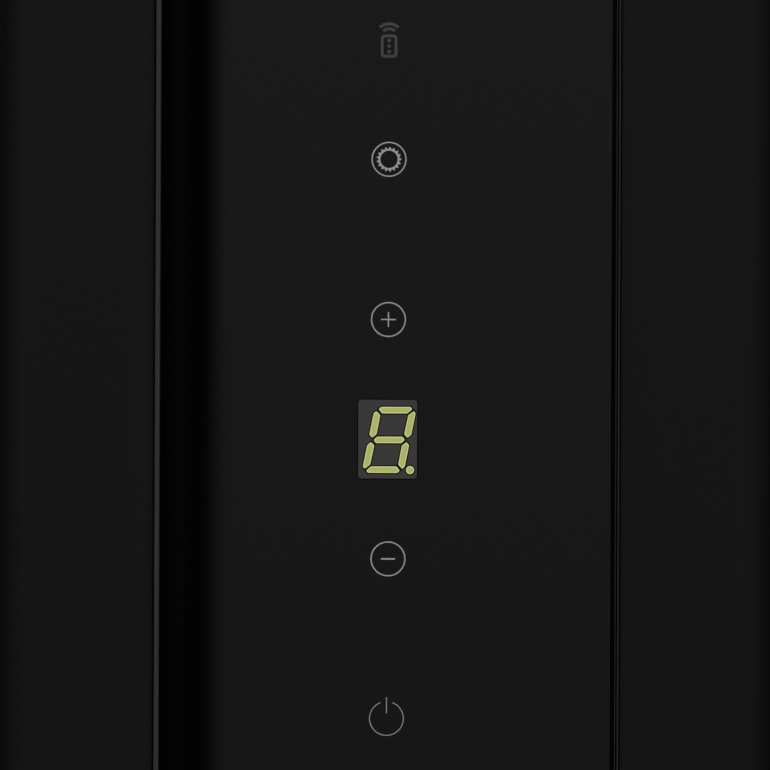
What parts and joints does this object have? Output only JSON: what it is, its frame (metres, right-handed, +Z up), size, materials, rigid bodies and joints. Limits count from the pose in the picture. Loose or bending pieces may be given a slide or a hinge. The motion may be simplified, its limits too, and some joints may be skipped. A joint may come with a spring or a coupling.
{
  "type": "air purifier",
  "caption": "Slim free-standing tower air purifier: black glass touch strip between two moulded side shells, rear air inlet with pull-out filter, top outlet.",
  "frame": {"origin": "middle of the footprint at floor level, under the feet", "axes": "+Z up, the tower's height; the glass front faces -Y; +X is to the right of someone facing it"},
  "size_m": [0.174, 0.19, 0.56],
  "materials": {
    "glass": "polished black, printed on its rear face",
    "case_plastic": "satin black moulding",
    "inner_plastic": "plain moulding",
    "rubber": "matt",
    "foam": "closed-cell foam",
    "board": "solder mask",
    "steel": "plated",
    "winding": "enamelled copper on a laminated core",
    "display_face": "smoked face with a lit digit",
    "key_foam": "conductive foam",
    "receiver_lens": "dark infrared lens",
    "frame_white": "plain moulding",
    "filter_paper": "pleated glass-fibre paper",
    "carbon": "carbon-coated felt",
    "mesh": "moulded nylon net",
    "tab": "soft moulded strap",
    "lead": "soft jacket"
  },
  "bodies": {
    "chassis": {"base_plate": "case_plastic", "base_screw_front_left": "steel", "base_screw_front_right": "steel", "base_screw_rear_left": "steel", "base_screw_rear_right": "steel", "digit_display": "display_face", "display_cable": "lead", "filter_bay_wall": "inner_plastic", "foot_front_left": "rubber", "foot_front_right": "rubber", "foot_rear_left": "rubber", "foot_rear_right": "rubber", "front_glass": "glass", "glass_carrier": "inner_plastic", "glass_tape": "foam", "inlet_guard": "steel", "interlock_switch": "inner_plastic", "key_pad_light": "key_foam", "key_pad_minus": "key_foam", "key_pad_plus": "key_foam", "key_pad_power": "key_foam", "left_side_shell": "case_plastic", "lower_rear_panel": "case_plastic", "mains_inlet": "inner_plastic", "mains_lead": "lead", "motor_bearing_front": "steel", "motor_bearing_rear": "steel", "motor_cable": "lead", "motor_end_plate": "steel", "motor_grommet_1": "rubber", "motor_grommet_2": "rubber", "motor_grommet_3": "rubber", "motor_housing": "steel", "motor_stator": "winding", "outlet_duct": "inner_plastic", "outlet_grille": "case_plastic", "power_board": "board", "power_board_tray": "frame_white", "remote_receiver": "receiver_lens", "right_side_shell": "case_plastic", "scroll_cover": "inner_plastic", "scroll_housing": "inner_plastic", "top_cap": "case_plastic", "touch_board": "board", "transformer": "winding"},
    "rotor": {"impeller": "inner_plastic", "motor_shaft": "steel", "rotor_magnet": "inner_plastic", "impeller_nut": "steel"},
    "cartridge": {"filter_frame": "frame_white", "filter_pleats": "filter_paper", "carbon_layer": "carbon", "filter_seal": "foam", "filter_pull_tab": "tab"},
    "prefilter": {"prefilter_frame": "case_plastic", "prefilter_mesh": "mesh"},
    "rear_cover_body": {"rear_cover": "case_plastic", "cover_magnet_left": "steel", "cover_magnet_right": "steel"},
    "plunger": {"interlock_plunger": "frame_white"}
  },
  "joints": [
    {"name": "fan_spin", "type": "hinge", "parent": "chassis", "child": "rotor", "pos_m": [0, -0.02, 0.25], "axis": [0, 1, 0], "continuous": true},
    {"name": "cartridge_slide", "type": "slide", "parent": "chassis", "child": "cartridge", "axis": [0, 1, 0], "range_m": [0, 0.1]},
    {"name": "prefilter_slide", "type": "slide", "parent": "cartridge", "child": "prefilter", "axis": [0, 1, 0], "range_m": [0, 0.08]},
    {"name": "cover_slide", "type": "slide", "parent": "prefilter", "child": "rear_cover_body", "axis": [0, 1, 0], "range_m": [0, 0.08]},
    {"name": "plunger_travel", "type": "slide", "parent": "chassis", "child": "plunger", "axis": [0, 1, 0], "range_m": [0, 0.002]}
  ],
  "couplings": [
    {"joint": "plunger_travel", "follows": "cover_slide", "ratio": 0.025}
  ]
}
